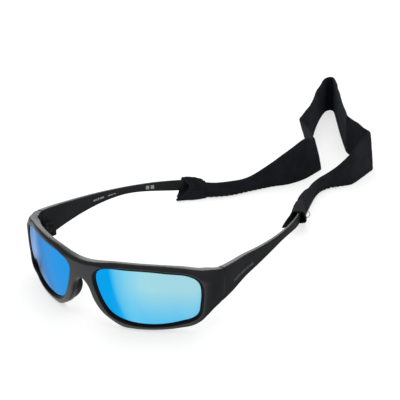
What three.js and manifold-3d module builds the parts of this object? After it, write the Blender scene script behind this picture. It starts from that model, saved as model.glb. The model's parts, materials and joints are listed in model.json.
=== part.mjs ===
// Wraparound sport sunglasses with a knit retainer strap, resting on a table.
// Millimetres. +X is the wearer's left, +Y runs from the bridge to the ears, +Z is up.
// The hard parts are drawn in the upright frame of a worn pair, and one group then leans
// them back onto the table. The strap is drawn where it stands, on its lower edge.
import * as THREE from 'three';
import { mergeVertices } from 'three/addons/utils/BufferGeometryUtils.js';
import Module from 'manifold-3d';

const wasm = await Module();
wasm.setup();

// How the worn frame sits on the table.
const RAKE = THREE.MathUtils.degToRad(5.91);
const LIFT = -0.78;

// Plan curve of the front: a wide bridge arc, then a tight arc round each end piece.
const FACE_RADIUS = 92.86;
const FACE_SWEEP = 0.682;
const END_RADIUS = 23.25;

// Upright curve of the front, measured from the height of the lens centres.
const EYE_HEIGHT = 23.74;
const UPRIGHT_RADIUS = 100.6;
const LENS_TILT = 0.087;

// The end pieces stand a little proud of that plan curve, between these two arc lengths.
const SWELL = 1.7;
const SWELL_START = 58;
const SWELL_FULL = 72;

// Depths behind the front surface.
const LIP_DEPTH = 1.2;
const GROOVE_FRONT = 1.5;
const GROOVE_BACK = 3.5;
const EDGE_FRONT = 0.6;
const EDGE_BACK = 3.8;
const FRONT_THICKNESS = 4.2;
const GROOVE_REACH = 1.1;
const LENS_REACH = 0.85;
const LENS_FRONT = 1.7;
const LENS_BACK = 3.3;

const SEAM_U = 83;
const STATIONS_PER_POINT = 6;

// Hinge, in the worn frame.
const PIN_X = 62.1;
const PIN_Y = 38.1;
const HINGE_Z = 27.0;
const HINGE_HEIGHT = 8.4;
const KNUCKLE_RADIUS = 1.9;
const PIN_BORE = 0.85;
const PIN_RADIUS = 0.78;
const LEAF_INNER_X = 61.0;
const LEAF_OUTER_X = 65.9;
const FIT_GAP = 0.15;
const FIXING_SPREAD = 2.5;
const FIXING_RADIUS = 0.55;
const FIXING_HOLE = 0.7;
const FIXING_END_X = 66.9;

// Temple, in the worn frame.
const TEMPLE_ORIGIN = 38;
const TEMPLE_START = 38.15;
const TEMPLE_END = 157.4;
const TEMPLE_FLARE_LENGTH = 27;
const TEMPLE_TOP = [40.0, 39.2, 37.7, 36.1, 34.4, 32.5, 30.1];
const TEMPLE_TOP_STEP = 20;
const TEMPLE_BOTTOM = [18.0, 21.8, 24.8, 26.6, 27.9, 29.0, 29.7, 29.9, 29.2, 27.7, 25.8, 23.9, 22.3];
const TEMPLE_BOTTOM_STEP = 10;
const TEMPLE_THICKNESS = [4.2, 3.6, 3.1, 2.8, 2.6, 2.5, 2.4];
// Outer face in plan: a cubic in hundreds of millimetres behind the origin.
const TEMPLE_CURVE = [67.1, 6.3, -14.3, -4.1];

// Strap.
const BAND_HEIGHT = 29.5;
const FOLDED_HEIGHT = 11.5;
const BAND_THICKNESS = 1.6;
const FOLDED_THICKNESS = 3.2;
const SLEEVE_THICKNESS = 6.6;
const SLEEVE_END_THICKNESS = 4.6;
const SLEEVE_TOP = 17.6;
const SLEEVE_END_TOP = 13.6;
const SLEEVE_CORNER = 0.8;
const POCKET_THICKNESS = 4.7;
const POCKET_BOTTOM = 4.4;
const POCKET_TOP = 15.6;
const POCKET_CORNER = 0.6;
const BAND_CORNER = 0.3;

// ---------------------------------------------------------------- small tools

// Uniform Catmull-Rom through rows of numbers; before and after are the ghost ends.
function splineAt(rows, position, before, after) {
  const last = rows.length - 1;
  const index = Math.min(Math.max(Math.floor(position), 0), last - 1);
  const t = position - index;
  const ghost = (i) => {
    if (i < 0) {
      return before ?? rows[0].map((value, axis) => 2 * value - rows[1][axis]);
    }
    if (i > last) {
      return after ?? rows[last].map((value, axis) => 2 * value - rows[last - 1][axis]);
    }
    return rows[i];
  };
  const [a, b, c, d] = [ghost(index - 1), ghost(index), ghost(index + 1), ghost(index + 2)];
  return b.map((_, axis) => {
    const slopeIn = c[axis] - a[axis];
    const bend = 2 * a[axis] - 5 * b[axis] + 4 * c[axis] - d[axis];
    const twist = -a[axis] + 3 * b[axis] - 3 * c[axis] + d[axis];
    return b[axis] + 0.5 * t * (slopeIn + t * (bend + t * twist));
  });
}

// A value read along equal steps, smoothed the same way.
function valueAlong(values, step, distance) {
  return splineAt(values.map((value) => [value]), distance / step)[0];
}

function mix(a, b, share) {
  return a + (b - a) * share;
}

function easeBetween(value, start, end) {
  const share = THREE.MathUtils.clamp((value - start) / (end - start), 0, 1);
  return share * share * (3 - 2 * share);
}

// Indexed geometry from points and quads or triangles.
function geometryFrom(points, faces) {
  const triangles = [];
  for (const face of faces) {
    for (let i = 2; i < face.length; i += 1) {
      triangles.push(face[0], face[i - 1], face[i]);
    }
  }
  const geometry = new THREE.BufferGeometry();
  geometry.setAttribute('position', new THREE.Float32BufferAttribute(points.flat(), 3));
  geometry.setIndex(triangles);
  return geometry;
}

// Rings of equal size joined into a closed solid; the first and last rings are capped.
function loft(rings) {
  const size = rings[0].length;
  const faces = [];
  for (let ring = 0; ring + 1 < rings.length; ring += 1) {
    for (let i = 0; i < size; i += 1) {
      const next = (i + 1) % size;
      const low = ring * size;
      const high = low + size;
      faces.push([low + i, low + next, high + next, high + i]);
    }
  }
  const base = (rings.length - 1) * size;
  faces.push(Array.from({ length: size }, (_, i) => size - 1 - i));
  faces.push(Array.from({ length: size }, (_, i) => base + i));
  return geometryFrom(rings.flat(), faces);
}

function bare(geometry) {
  const copy = geometry.clone();
  copy.deleteAttribute('normal');
  copy.deleteAttribute('uv');
  return mergeVertices(copy, 1e-3);
}

function toManifold(geometry) {
  const plain = bare(geometry);
  const mesh = new wasm.Mesh({
    numProp: 3,
    vertProperties: new Float32Array(plain.attributes.position.array),
    triVerts: new Uint32Array(plain.index.array),
  });
  return new wasm.Manifold(mesh);
}

function fromManifold(solid) {
  const mesh = solid.getMesh();
  const geometry = new THREE.BufferGeometry();
  geometry.setAttribute('position', new THREE.BufferAttribute(mesh.vertProperties, 3));
  geometry.setIndex(new THREE.BufferAttribute(mesh.triVerts, 1));
  return geometry;
}

function cut(body, tools) {
  return fromManifold(tools.reduce((solid, tool) => solid.subtract(toManifold(tool)), toManifold(body)));
}

function join(pieces) {
  return fromManifold(pieces.map(toManifold).reduce((whole, piece) => whole.add(piece)));
}

// The same solid on the other side of the face.
function mirrored(geometry) {
  const copy = bare(geometry);
  copy.scale(-1, 1, 1);
  const order = Array.from(copy.index.array);
  for (let i = 0; i < order.length; i += 3) {
    [order[i], order[i + 1]] = [order[i + 1], order[i]];
  }
  copy.setIndex(order);
  return copy;
}

function box(low, high) {
  const size = low.map((value, axis) => high[axis] - value);
  const middle = low.map((value, axis) => (high[axis] + value) / 2);
  return new THREE.BoxGeometry(...size).translate(...middle);
}

function uprightCylinder(radius, low, high, x, y, sides = 20) {
  const geometry = new THREE.CylinderGeometry(radius, radius, high - low, sides);
  return geometry.rotateX(Math.PI / 2).translate(x, y, (low + high) / 2);
}

function sidewaysCylinder(radius, low, high, y, z, sides = 12) {
  const geometry = new THREE.CylinderGeometry(radius, radius, high - low, sides);
  return geometry.rotateZ(Math.PI / 2).translate((low + high) / 2, y, z);
}

// ---------------------------------------------------------------- the wrapped front

// Plan position and heading at arc length u from the middle of the bridge.
function planAt(u) {
  const bend = FACE_RADIUS * FACE_SWEEP;
  if (u < bend) {
    const angle = u / FACE_RADIUS;
    return { x: FACE_RADIUS * Math.sin(angle), y: FACE_RADIUS * (1 - Math.cos(angle)), angle };
  }
  const angle = FACE_SWEEP + (u - bend) / END_RADIUS;
  const centre = FACE_RADIUS - END_RADIUS;
  return {
    x: centre * Math.sin(FACE_SWEEP) + END_RADIUS * Math.sin(angle),
    y: FACE_RADIUS - centre * Math.cos(FACE_SWEEP) - END_RADIUS * Math.cos(angle),
    angle,
  };
}

// Upright bow of the front: how far the surface falls back at height v.
function bow(v) {
  return (v * v) / (2 * UPRIGHT_RADIUS) - LENS_TILT * v;
}

function onFront(u, v, depth) {
  const { x, y, angle } = planAt(u);
  const inward = depth + bow(v) - SWELL * easeBetween(u, SWELL_START, SWELL_FULL);
  return [x - Math.sin(angle) * inward, y + Math.cos(angle) * inward, EYE_HEIGHT + v];
}

// Lens opening, from the nose over the brow and back along the cheek.
const OPENING = [
  [10.1, 4.2], [13.2, 12.6], [30.3, 14.8], [48.1, 15.1], [66.7, 12.3],
  [69.5, -2.1], [65.3, -11.3], [41.1, -17.5], [20.2, -13.4],
];

function openingAt(station) {
  const rows = [...OPENING, OPENING[0]];
  return splineAt(rows, station, OPENING[OPENING.length - 1], OPENING[1]);
}

// Outer edge of the front, in four runs that keep pace with the opening's stations.
const ARCH_TOP = [0, 5.4];
const BROW_MIDDLE = [0, 14.6];
const BROW = [BROW_MIDDLE, [21, 17.6], [36.5, 18.2], [49, 18.1], [62, 17.5], [SEAM_U, 16.3]];
const CHEEK = [
  [SEAM_U, -5.8], [78.5, -7.4], [74.5, -10.4], [70.2, -13.8], [64.2, -16.6], [56, -19.0],
  [47.5, -20.5], [39.3, -21.5], [31.5, -21.9], [24.8, -21.1], [18.6, -18.2], [13.4, -13.7],
  [9.0, -7.0], [5.4, 1.2], ARCH_TOP,
];
const BROW_START = 1;
const SEAM_START = 4.35;
const SEAM_FINISH = 5.15;
const LAST_STATION = OPENING.length;
const BROW_STEPS = 20;
const SEAM_STEPS = 5;
const CHEEK_STEPS = 26;

function outlineAt(station) {
  if (station <= BROW_START) {
    return [0, mix(ARCH_TOP[1], BROW_MIDDLE[1], station / BROW_START)];
  }
  if (station <= SEAM_START) {
    const share = (station - BROW_START) / (SEAM_START - BROW_START);
    return splineAt(BROW, share * (BROW.length - 1), [-BROW[1][0], BROW[1][1]]);
  }
  if (station <= SEAM_FINISH) {
    const share = (station - SEAM_START) / (SEAM_FINISH - SEAM_START);
    return [SEAM_U, mix(BROW[BROW.length - 1][1], CHEEK[0][1], share)];
  }
  const share = (station - SEAM_FINISH) / (LAST_STATION - SEAM_FINISH);
  const ghost = [-CHEEK[CHEEK.length - 2][0], CHEEK[CHEEK.length - 2][1]];
  return splineAt(CHEEK, share * (CHEEK.length - 1), undefined, ghost);
}

// Stations hit every corner of the outline exactly.
function stationList() {
  const runs = [
    [0, BROW_START, STATIONS_PER_POINT],
    [BROW_START, SEAM_START, BROW_STEPS],
    [SEAM_START, SEAM_FINISH, SEAM_STEPS],
    [SEAM_FINISH, LAST_STATION, CHEEK_STEPS],
  ];
  const list = [];
  for (const [from, to, count] of runs) {
    for (let i = 0; i < count; i += 1) {
      list.push(mix(from, to, i / count));
    }
  }
  return list;
}

// A point between the opening and the outline; reach runs outward from the opening in mm.
function acrossRim(station, share, reach = 0) {
  const hole = openingAt(station);
  const edge = outlineAt(station);
  const span = Math.hypot(edge[0] - hole[0], edge[1] - hole[1]);
  const along = share + reach / span;
  return [mix(hole[0], edge[0], along), mix(hole[1], edge[1], along)];
}

function halfFront() {
  const stations = stationList();
  const profile = [
    { share: 0, depth: LIP_DEPTH },
    { share: 0.22, depth: 0.1 },
    { share: 0.5, depth: 0 },
    { share: 0.78, depth: 0.1 },
    { share: 1, depth: EDGE_FRONT },
    { share: 1, depth: EDGE_BACK, wallStart: true },
    { share: 0.7, depth: FRONT_THICKNESS },
    { share: 0.35, depth: FRONT_THICKNESS },
    { share: 0, reach: 0.1, depth: FRONT_THICKNESS },
    { share: 0, reach: 0.1, depth: GROOVE_BACK },
    { share: 0, reach: GROOVE_REACH, depth: GROOVE_BACK },
    { share: 0, reach: GROOVE_REACH, depth: GROOVE_FRONT },
    { share: 0, depth: GROOVE_FRONT },
  ];
  const points = [];
  for (const station of stations) {
    for (const step of profile) {
      const [u, v] = acrossRim(station, step.share, step.reach);
      points.push(onFront(u, v, step.depth));
    }
  }
  const size = profile.length;
  const wall = profile.findIndex((step) => step.wallStart) - 1;
  const faces = [];
  for (let i = 0; i < stations.length; i += 1) {
    const next = (i + 1) % stations.length;
    const onMiddle = stations[i] < BROW_START - 1e-6;
    for (let j = 0; j < size; j += 1) {
      if (onMiddle && j === wall) {
        continue;
      }
      const after = (j + 1) % size;
      faces.push([i * size + j, next * size + j, next * size + after, i * size + after]);
    }
  }
  return geometryFrom(points, faces);
}

function wholeFront() {
  const half = halfFront();
  const other = mirrored(half);
  const count = half.attributes.position.count;
  const points = [];
  for (const geometry of [half, other]) {
    const position = geometry.attributes.position;
    for (let i = 0; i < position.count; i += 1) {
      points.push([position.getX(i), position.getY(i), position.getZ(i)]);
    }
  }
  const triangles = [...half.index.array, ...Array.from(other.index.array, (i) => i + count)];
  const faces = [];
  for (let i = 0; i < triangles.length; i += 3) {
    faces.push(triangles.slice(i, i + 3));
  }
  return geometryFrom(points, faces);
}

function lens() {
  const stations = stationList();
  const centre = [41, -0.5];
  const shares = [1, 0.66, 0.33];
  const points = [];
  for (const depth of [LENS_FRONT, LENS_BACK]) {
    for (const share of shares) {
      for (const station of stations) {
        const [u, v] = acrossRim(station, 0, LENS_REACH);
        points.push(onFront(mix(centre[0], u, share), mix(centre[1], v, share), depth));
      }
    }
  }
  const count = stations.length;
  const layer = count * shares.length;
  const frontMiddle = points.push(onFront(...centre, LENS_FRONT)) - 1;
  const backMiddle = points.push(onFront(...centre, LENS_BACK)) - 1;
  const faces = [];
  for (let i = 0; i < count; i += 1) {
    const next = (i + 1) % count;
    faces.push([i, next, layer + next, layer + i]);
    for (let ring = 0; ring + 1 < shares.length; ring += 1) {
      const outer = ring * count;
      const inner = outer + count;
      faces.push([outer + i, inner + i, inner + next, outer + next]);
      faces.push([layer + outer + i, layer + outer + next, layer + inner + next, layer + inner + i]);
    }
    const core = (shares.length - 1) * count;
    faces.push([core + i, frontMiddle, core + next]);
    faces.push([layer + core + i, layer + core + next, backMiddle]);
  }
  return geometryFrom(points, faces);
}

// ---------------------------------------------------------------- nose pads

const PAD_STATIONS = [8.2, 8.34, 8.48, 8.62, 8.76];
const PAD_DEPTH = 6.2;
const PAD_SLOPE = 2.6;
const PAD_TAPER = 0.35;
const PAD_GAP = 0.35;
const PAD_PLUG = { station: 8.5, inset: 1.9, radius: 0.9, clearance: 0.15, deepest: 2.6 };

function nosePad() {
  const rings = PAD_STATIONS.map((station, index) => {
    const [u, v] = outlineAt(station);
    const middle = (PAD_STATIONS.length - 1) / 2;
    const fullness = 1 - PAD_TAPER * Math.abs(index - middle) / middle;
    const front = FRONT_THICKNESS + PAD_GAP;
    const back = front + PAD_DEPTH * fullness;
    const slope = PAD_SLOPE * fullness;
    return [
      onFront(u + 0.6, v, front),
      onFront(u + 3.1, v, front),
      onFront(u + 2.6 + slope, v, back - 0.6),
      onFront(u + 1.2 + slope, v, back),
      onFront(u - 0.2 + slope * 0.6, v, back - 1.2),
      onFront(u - 0.2, v, front + 1.6),
    ];
  });
  return loft(rings);
}

function padPlug(radius, nearest, deepest) {
  const [u, v] = outlineAt(PAD_PLUG.station);
  const from = onFront(u + PAD_PLUG.inset, v, nearest);
  const to = onFront(u + PAD_PLUG.inset, v, deepest);
  const geometry = new THREE.CylinderGeometry(radius, radius, nearest - deepest, 12);
  const direction = new THREE.Vector3(...to).sub(new THREE.Vector3(...from)).normalize();
  const turn = new THREE.Quaternion().setFromUnitVectors(new THREE.Vector3(0, 1, 0), direction);
  geometry.applyQuaternion(turn);
  return geometry.translate(...from.map((value, axis) => (value + to[axis]) / 2));
}

// ---------------------------------------------------------------- hinge

const KNUCKLE_GAP = 0.12;
const LOW = HINGE_Z - HINGE_HEIGHT / 2;
const HIGH = HINGE_Z + HINGE_HEIGHT / 2;
const THIRD = HINGE_HEIGHT / 3;
const FRONT_BLOCK = [31.0, 35.9];
const TEMPLE_BLOCK = [40.35, 45.6];

function knuckle(low, high, towards) {
  const ring = uprightCylinder(KNUCKLE_RADIUS, low, high, PIN_X, PIN_Y);
  const web = box(
    [LEAF_INNER_X, Math.min(PIN_Y, towards), low],
    [PIN_X + 1.2, Math.max(PIN_Y, towards), high],
  );
  return [ring, web];
}

function leaf(block, knuckles) {
  const body = box([LEAF_INNER_X, block[0], LOW], [LEAF_OUTER_X, block[1], HIGH]);
  const towards = block[0] > PIN_Y ? block[0] + 0.5 : block[1] - 0.5;
  const rings = knuckles.flatMap(([low, high]) => knuckle(low, high, towards));
  const bore = uprightCylinder(PIN_BORE, LOW - 1, HIGH + 1, PIN_X, PIN_Y, 24);
  return cut(join([body, ...rings]), [bore, ...fixingHoles(block)]);
}

function fixingPlaces(block) {
  const y = (block[0] + block[1]) / 2;
  return [HINGE_Z - FIXING_SPREAD, HINGE_Z + FIXING_SPREAD].map((z) => ({ y, z }));
}

function fixingHoles(block) {
  const [inner, outer] = [LEAF_INNER_X - 4, FIXING_END_X + 0.4];
  return fixingPlaces(block).map(({ y, z }) => sidewaysCylinder(FIXING_HOLE, inner, outer, y, z));
}

function leafPocket(block) {
  const low = [LEAF_INNER_X - 3, block[0] - FIT_GAP, LOW - FIT_GAP];
  const high = [LEAF_OUTER_X + FIT_GAP, block[1] + FIT_GAP, HIGH + FIT_GAP];
  return box(low, high);
}

function frontLeaf() {
  return leaf(FRONT_BLOCK, [[LOW, LOW + THIRD - KNUCKLE_GAP], [HIGH - THIRD + KNUCKLE_GAP, HIGH]]);
}

function templeLeaf() {
  return leaf(TEMPLE_BLOCK, [[LOW + THIRD + KNUCKLE_GAP, HIGH - THIRD - KNUCKLE_GAP]]);
}

function hingeScrew() {
  const shank = uprightCylinder(PIN_RADIUS, LOW - 0.3, HIGH + 0.3, PIN_X, PIN_Y, 24);
  const head = uprightCylinder(1.5, HIGH + 0.15, HIGH + 1.15, PIN_X, PIN_Y, 24);
  const slot = box([PIN_X - 2, PIN_Y - 0.2, HIGH + 0.75], [PIN_X + 2, PIN_Y + 0.2, HIGH + 2]);
  return cut(join([shank, head]), [slot]);
}

function fixingScrew({ y, z }) {
  const shank = sidewaysCylinder(FIXING_RADIUS, LEAF_INNER_X - 0.3, FIXING_END_X, y, z);
  const head = sidewaysCylinder(1.05, LEAF_INNER_X - 0.75, LEAF_INNER_X - 0.12, y, z);
  return join([shank, head]);
}

// ---------------------------------------------------------------- temples

// Plan path of the temple's outer face at distance y.
function templePath(y) {
  const [start, rise, fall, hook] = TEMPLE_CURVE;
  const run = (y - TEMPLE_ORIGIN) / 100;
  const flare = SWELL * (1 - easeBetween(y - TEMPLE_ORIGIN, 0, TEMPLE_FLARE_LENGTH));
  const x = start + rise * run + fall * run ** 2 + hook * run ** 3 + flare;
  const slope = (rise + 2 * fall * run + 3 * hook * run ** 2) / 100;
  const turn = Math.min((y - TEMPLE_START) / 15, 1) * slope;
  const size = Math.hypot(turn, 1);
  return { x, normal: [-1 / size, turn / size] };
}

// Rounded section: pairs of share across the thickness and share of the height.
function templeSection(thickness, height) {
  const corner = Math.min(1.1, thickness * 0.42, height * 0.3);
  const section = [];
  const centres = [
    [thickness - corner, corner, -Math.PI / 2],
    [thickness - corner, height - corner, 0],
    [corner, height - corner, Math.PI / 2],
    [corner, corner, Math.PI],
  ];
  for (const [across, up, start] of centres) {
    for (const share of [0, 0.5, 1]) {
      const angle = start + share * Math.PI / 2;
      section.push([across + corner * Math.cos(angle), up + corner * Math.sin(angle)]);
    }
  }
  return section;
}

function templeRing(y, shrink = 1) {
  const { x, normal } = templePath(y);
  const reach = y - TEMPLE_ORIGIN;
  const top = valueAlong(TEMPLE_TOP, TEMPLE_TOP_STEP, reach);
  const bottom = valueAlong(TEMPLE_BOTTOM, TEMPLE_BOTTOM_STEP, reach);
  const thickness = valueAlong(TEMPLE_THICKNESS, TEMPLE_TOP_STEP, reach);
  const height = (top - bottom) * shrink;
  const low = (top + bottom - height) / 2;
  const slim = thickness * shrink;
  const start = (thickness - slim) / 2;
  return templeSection(slim, height).map(([across, up]) => {
    const level = low + up;
    const lean = bow(level - EYE_HEIGHT) * Math.max(0, 1 - reach / 30);
    const inset = start + across + lean;
    return [x + normal[0] * inset, y - normal[1] * inset, level];
  });
}

function temple() {
  const rings = [];
  const count = 22;
  for (let i = 0; i <= count; i += 1) {
    rings.push(templeRing(mix(TEMPLE_START, TEMPLE_END, i / count)));
  }
  rings.push(templeRing(TEMPLE_END + 0.9, 0.75));
  rings.push(templeRing(TEMPLE_END + 1.3, 0.35));
  const body = loft(rings);
  return cut(body, [leafPocket(TEMPLE_BLOCK), ...fixingHoles(TEMPLE_BLOCK)]);
}

// ---------------------------------------------------------------- strap

// Sleeve centre line, left side, from its mouth to where the band leaves it.
const SLEEVE_LINE = [[48.2, 155.8], [46.2, 159.4], [43.0, 162.4], [38.6, 164.8]];
const POCKET_LINE = [[49.4, 153.6], [48.2, 155.8], [46.2, 159.4], [44.8, 161.6]];

// A flat upright tube: a rectangle with clipped corners swept along a plan line.
function uprightStrip(line, levels) {
  const rings = line.map(([x, y], index) => {
    const before = line[Math.max(index - 1, 0)];
    const after = line[Math.min(index + 1, line.length - 1)];
    const heading = new THREE.Vector2(after[0] - before[0], after[1] - before[1]).normalize();
    const side = [heading.y, -heading.x];
    const { low, high, thickness, corner } = levels(index);
    const half = thickness / 2;
    const outline = [
      [corner - half, low], [-half, low + corner], [-half, high - corner], [corner - half, high],
      [half - corner, high], [half, high - corner], [half, low + corner], [half - corner, low],
    ];
    return outline.map(([across, z]) => [x + side[0] * across, y + side[1] * across, z]);
  });
  return loft(rings);
}

function sleeve() {
  const last = SLEEVE_LINE.length - 1;
  const shell = uprightStrip(SLEEVE_LINE, (index) => ({
    low: 0,
    high: mix(SLEEVE_TOP, SLEEVE_END_TOP, index / last),
    thickness: mix(SLEEVE_THICKNESS, SLEEVE_END_THICKNESS, index / last),
    corner: SLEEVE_CORNER,
  }));
  const pocket = uprightStrip(POCKET_LINE, () => ({
    low: POCKET_BOTTOM,
    high: POCKET_TOP,
    thickness: POCKET_THICKNESS,
    corner: POCKET_CORNER,
  }));
  return cut(shell, [pocket]);
}

// Lower edge of the band with its height there, from the right sleeve round to the left one.
const BAND_LINE = [
  [-38.0, 165.1, 13], [-29, 171, 12], [-20, 178.5, 11.5], [-12, 190, 11.5], [-3, 203, 18],
  [6, 214, 27], [11, 227, BAND_HEIGHT], [13, 246, BAND_HEIGHT], [-12, 263, BAND_HEIGHT],
  [-22, 292, BAND_HEIGHT], [-32, 318, BAND_HEIGHT], [-41, 357, BAND_HEIGHT],
  [-17, 330, BAND_HEIGHT], [3, 300, BAND_HEIGHT], [14, 284, BAND_HEIGHT], [45, 265, BAND_HEIGHT],
  [44.5, 236, 26], [39, 229, 16], [35, 224, FOLDED_HEIGHT], [33.5, 207, FOLDED_HEIGHT],
  [35.5, 187, 12], [36.9, 167.2, 13],
];
const BAND_SHARP = new Set([7, 8, 11, 14, 15]);
const BAND_ROUNDING = 3.2;
const BAND_ARC_STEPS = 4;

// Sharp bends of the line become short arcs.
function roundedBandLine() {
  const line = [];
  BAND_LINE.forEach(([x, y, height], index) => {
    if (!BAND_SHARP.has(index)) {
      line.push([x, y, height]);
      return;
    }
    const here = new THREE.Vector2(x, y);
    const [back, ahead] = [index - 1, index + 1].map((other) => {
      return new THREE.Vector2(BAND_LINE[other][0], BAND_LINE[other][1]).sub(here).normalize();
    });
    for (let step = 0; step <= BAND_ARC_STEPS; step += 1) {
      const t = step / BAND_ARC_STEPS;
      const pull = BAND_ROUNDING * (1 - t) ** 2;
      const push = BAND_ROUNDING * t ** 2;
      line.push([x + back.x * pull + ahead.x * push, y + back.y * pull + ahead.y * push, height]);
    }
  });
  return line;
}

function band() {
  const line = roundedBandLine();
  return uprightStrip(line, (index) => {
    const height = line[index][2];
    const open = (height - FOLDED_HEIGHT) / (BAND_HEIGHT - FOLDED_HEIGHT);
    return {
      low: 0,
      high: height,
      thickness: mix(FOLDED_THICKNESS, BAND_THICKNESS, open),
      corner: BAND_CORNER,
    };
  });
}

// The run of thread that closes the folded ends, lying along the band's outer face.
function seamThread(first, last) {
  const offset = FOLDED_THICKNESS / 2 + 0.7;
  const line = BAND_LINE.slice(first, last + 1).map(([x, y], index, list) => {
    const before = list[Math.max(index - 1, 0)];
    const after = list[Math.min(index + 1, list.length - 1)];
    const heading = new THREE.Vector2(after[0] - before[0], after[1] - before[1]).normalize();
    return [x + heading.y * offset, y - heading.x * offset];
  });
  return uprightStrip(line, () => ({ low: 1.6, high: 2.2, thickness: 0.5, corner: 0.1 }));
}

// ---------------------------------------------------------------- assembly

const FINISHES = {
  frame: { color: 0x17181b, roughness: 0.42, metalness: 0 },
  lens: { color: 0x2f9fe0, roughness: 0.06, metalness: 0.7 },
  pad: { color: 0x0c0c0d, roughness: 0.7, metalness: 0 },
  steel: { color: 0x3a3b3e, roughness: 0.35, metalness: 1 },
  strap: { color: 0x16181c, roughness: 0.95, metalness: 0 },
  thread: { color: 0x0d0e10, roughness: 0.9, metalness: 0 },
};

function piece(name, geometry, finish) {
  const solid = bare(geometry);
  solid.computeVertexNormals();
  const mesh = new THREE.Mesh(solid, new THREE.MeshStandardMaterial(FINISHES[finish]));
  mesh.name = name;
  return mesh;
}

function pair(name, geometry, finish) {
  return [piece(`${name}_left`, geometry, finish), piece(`${name}_right`, mirrored(geometry), finish)];
}

const worn = new THREE.Group();
worn.rotation.x = -RAKE;
worn.position.z = LIFT;
worn.updateMatrix();

const table = box([-90, -20, -20], [90, 60, 0]).applyMatrix4(worn.matrix.clone().invert());
const plugHole = padPlug(PAD_PLUG.radius + PAD_PLUG.clearance, FRONT_THICKNESS + 0.6, PAD_PLUG.deepest - 0.2);
const frontCuts = [leafPocket(FRONT_BLOCK), ...fixingHoles(FRONT_BLOCK), plugHole];
const front = cut(wholeFront(), [table, ...frontCuts, ...frontCuts.map(mirrored)]);
const pad = join([nosePad(), padPlug(PAD_PLUG.radius, FRONT_THICKNESS + 1.5, PAD_PLUG.deepest)]);

worn.add(piece('front_frame', front, 'frame'));
worn.add(...pair('lens', lens(), 'lens'));
worn.add(...pair('nose_pad', pad, 'pad'));
worn.add(...pair('hinge_front_leaf', frontLeaf(), 'steel'));
worn.add(...pair('hinge_temple_leaf', templeLeaf(), 'steel'));
worn.add(...pair('hinge_screw', hingeScrew(), 'steel'));
fixingPlaces(FRONT_BLOCK).forEach((place, index) => {
  worn.add(...pair(`front_leaf_screw_${index + 1}`, fixingScrew(place), 'steel'));
});
fixingPlaces(TEMPLE_BLOCK).forEach((place, index) => {
  worn.add(...pair(`temple_leaf_screw_${index + 1}`, fixingScrew(place), 'steel'));
});
worn.add(...pair('temple', temple(), 'frame'));

const sunglasses = new THREE.Group();
sunglasses.add(worn);
sunglasses.add(...pair('strap_sleeve', sleeve(), 'strap'));
sunglasses.add(piece('strap_band', band(), 'strap'));
sunglasses.add(piece('seam_thread_right', seamThread(0, 3), 'thread'));
sunglasses.add(piece('seam_thread_left', seamThread(18, 21), 'thread'));

// The row's origin is the middle of the footprint, on the table.
sunglasses.updateMatrixWorld(true);
const footprint = new THREE.Box3().setFromObject(sunglasses, true);
sunglasses.position.y = -(footprint.min.y + footprint.max.y) / 2;
sunglasses.position.x = -(footprint.min.x + footprint.max.x) / 2;

export default sunglasses;
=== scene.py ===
"""Wraparound sport sunglasses with a knit retainer strap, on a pale table.

The hard pieces are drawn in an upright worn frame, in millimetres, and leaned back onto the table by place().
The strap is drawn where it lies. Everything is then moved by the row's shift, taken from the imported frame.
"""
import json
import math
import bmesh
import bpy
from mathutils import Matrix, Vector, noise


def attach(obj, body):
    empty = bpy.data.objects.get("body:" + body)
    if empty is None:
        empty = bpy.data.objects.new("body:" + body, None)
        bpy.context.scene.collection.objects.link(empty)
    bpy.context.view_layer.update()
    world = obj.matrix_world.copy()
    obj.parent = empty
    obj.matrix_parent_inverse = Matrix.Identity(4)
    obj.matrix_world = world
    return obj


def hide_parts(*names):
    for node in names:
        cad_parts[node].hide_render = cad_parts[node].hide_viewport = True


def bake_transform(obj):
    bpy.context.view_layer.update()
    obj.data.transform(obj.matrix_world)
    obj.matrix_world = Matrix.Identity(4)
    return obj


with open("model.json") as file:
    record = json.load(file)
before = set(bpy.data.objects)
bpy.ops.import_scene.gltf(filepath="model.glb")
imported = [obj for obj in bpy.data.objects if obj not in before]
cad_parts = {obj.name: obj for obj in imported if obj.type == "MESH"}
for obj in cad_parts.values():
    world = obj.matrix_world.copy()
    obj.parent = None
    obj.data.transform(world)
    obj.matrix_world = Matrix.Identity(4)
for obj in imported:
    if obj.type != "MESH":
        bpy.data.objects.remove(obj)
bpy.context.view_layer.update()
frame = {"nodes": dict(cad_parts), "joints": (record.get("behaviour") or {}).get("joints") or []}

MM = 0.001

# ---------------------------------------------------------------- driving dimensions, in mm

RAKE = math.radians(5.91)
LIFT = -0.78
FACE_RADIUS, FACE_SWEEP, END_RADIUS = 92.86, 0.682, 23.25
SWELL, SWELL_START, SWELL_FULL = 1.7, 58.0, 72.0
EYE_HEIGHT, UPRIGHT_RADIUS, LENS_TILT = 23.74, 100.6, 0.087
SEAM_U = 83.0

OPENING = [(9.8, 4.2), (13.2, 12.6), (30.3, 14.8), (48.1, 15.1), (66.7, 12.3),
           (69.5, -2.1), (65.3, -11.3), (41.1, -17.5), (19.2, -13.8)]
ARCH_TOP, BROW_MIDDLE = (0.0, 4.6), (0.0, 15.3)
BROW = [BROW_MIDDLE, (21, 17.7), (36.5, 18.6), (49, 18.8), (62, 18.0), (SEAM_U, 16.1)]
CHEEK = [(SEAM_U, -3.8), (78.5, -5.9), (74.5, -9.2), (70.2, -13.2), (64.2, -16.4), (56, -18.5),
         (47.5, -19.8), (39.3, -20.7), (31.5, -21.3), (24.8, -21.1), (18.6, -18.2), (12.4, -13.7),
         (7.9, -7.0), (4.9, 0.7), ARCH_TOP]
BROW_START, SEAM_START, SEAM_FINISH, LAST_STATION = 1.0, 4.35, 5.15, 9.0

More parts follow.
